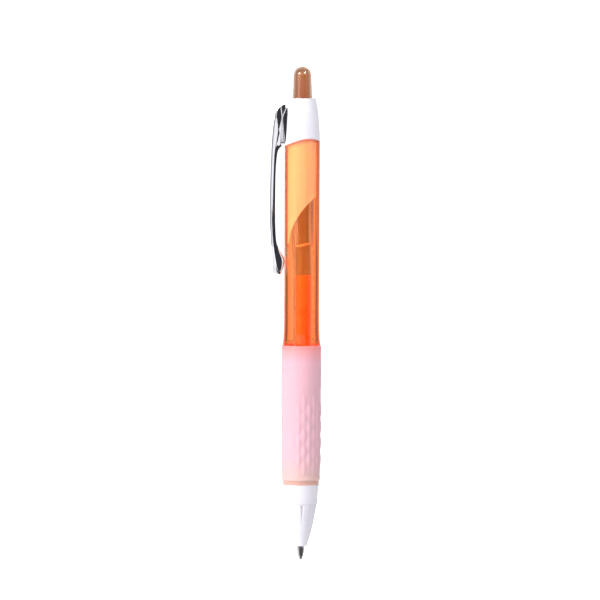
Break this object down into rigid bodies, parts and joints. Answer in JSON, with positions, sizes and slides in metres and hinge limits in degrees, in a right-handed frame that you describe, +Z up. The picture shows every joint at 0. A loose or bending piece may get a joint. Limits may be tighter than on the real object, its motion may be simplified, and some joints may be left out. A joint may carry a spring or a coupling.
{
  "type": "retractable gel pen",
  "caption": "Push-button gel pen with a clear coloured barrel, soft grip, fluted nose cone, folded metal clip and a removable refill.",
  "frame": {"origin": "the writing point, at the lowest point of the ball with the point out", "axes": "+Z up along the pen axis towards the push knob, -X towards the pocket clip"},
  "size_m": [0.0156, 0.0114, 0.142],
  "materials": {
    "clear_orange": "polished translucent orange plastic",
    "soft_pink": "frosted translucent rubber",
    "white_plastic": "gloss",
    "clip_chrome": "mirror plated sheet",
    "mechanism_plastic": "natural acetal",
    "milky_plastic": "milky translucent polypropylene",
    "orange_ink": "wet gel ink",
    "clear_grease": "clear gel",
    "tip_steel": "turned stainless steel",
    "spring_steel": "drawn wire",
    "ball_carbide": "ground ball"
  },
  "bodies": {
    "barrel": {"barrel": "clear_orange", "grip": "soft_pink", "nose_cone": "white_plastic", "collar": "white_plastic", "cam_sleeve": "mechanism_plastic", "inner_sleeve": "white_plastic", "return_spring": "spring_steel"},
    "clip": {"clip": "clip_chrome"},
    "knob": {"knob": "clear_orange", "plunger": "mechanism_plastic"},
    "refill": {"refill_tube": "milky_plastic", "ink_column": "orange_ink", "follower_grease": "clear_grease", "tail_plug": "milky_plastic", "tip_holder": "milky_plastic", "writing_tip": "tip_steel", "seal_spring": "spring_steel"},
    "rotor": {"rotor_cam": "mechanism_plastic"},
    "writing_ball": {"writing_ball": "ball_carbide"},
    "check_ball": {"check_ball": "ball_carbide"}
  },
  "joints": [
    {"name": "refill_slide", "type": "slide", "parent": "barrel", "child": "refill", "axis": [0, 0, 1], "range_m": [-0.001, 0.005], "stiffness_N_per_m": 120, "deforming": ["return_spring"]},
    {"name": "knob_press", "type": "slide", "parent": "barrel", "child": "knob", "axis": [0, 0, 1], "range_m": [-0.001, 0.005]},
    {"name": "rotor_turn", "type": "hinge", "parent": "refill", "child": "rotor", "pos_m": [0, 0, 0.11], "axis": [0, 0, 1], "range_deg": [-9, 45]},
    {"name": "ball_roll", "type": "hinge", "parent": "refill", "child": "writing_ball", "pos_m": [0, 0, 0.00035], "axis": [1, 0, 0], "continuous": true},
    {"name": "check_ball_float", "type": "slide", "parent": "refill", "child": "check_ball", "axis": [0, 0, 1], "range_m": [0, 0.0005]},
    {"name": "clip_flex", "type": "hinge", "parent": "barrel", "child": "clip", "pos_m": [-0.005, 0, 0.1312], "axis": [0, 1, 0], "range_deg": [0, 4], "stiffness_Nm_per_rad": 1.2}
  ],
  "couplings": [
    {"joint": "knob_press", "follows": "refill_slide", "ratio": 1},
    {"joint": "rotor_turn", "follows": "refill_slide", "rad_per_m": 157.08}
  ]
}
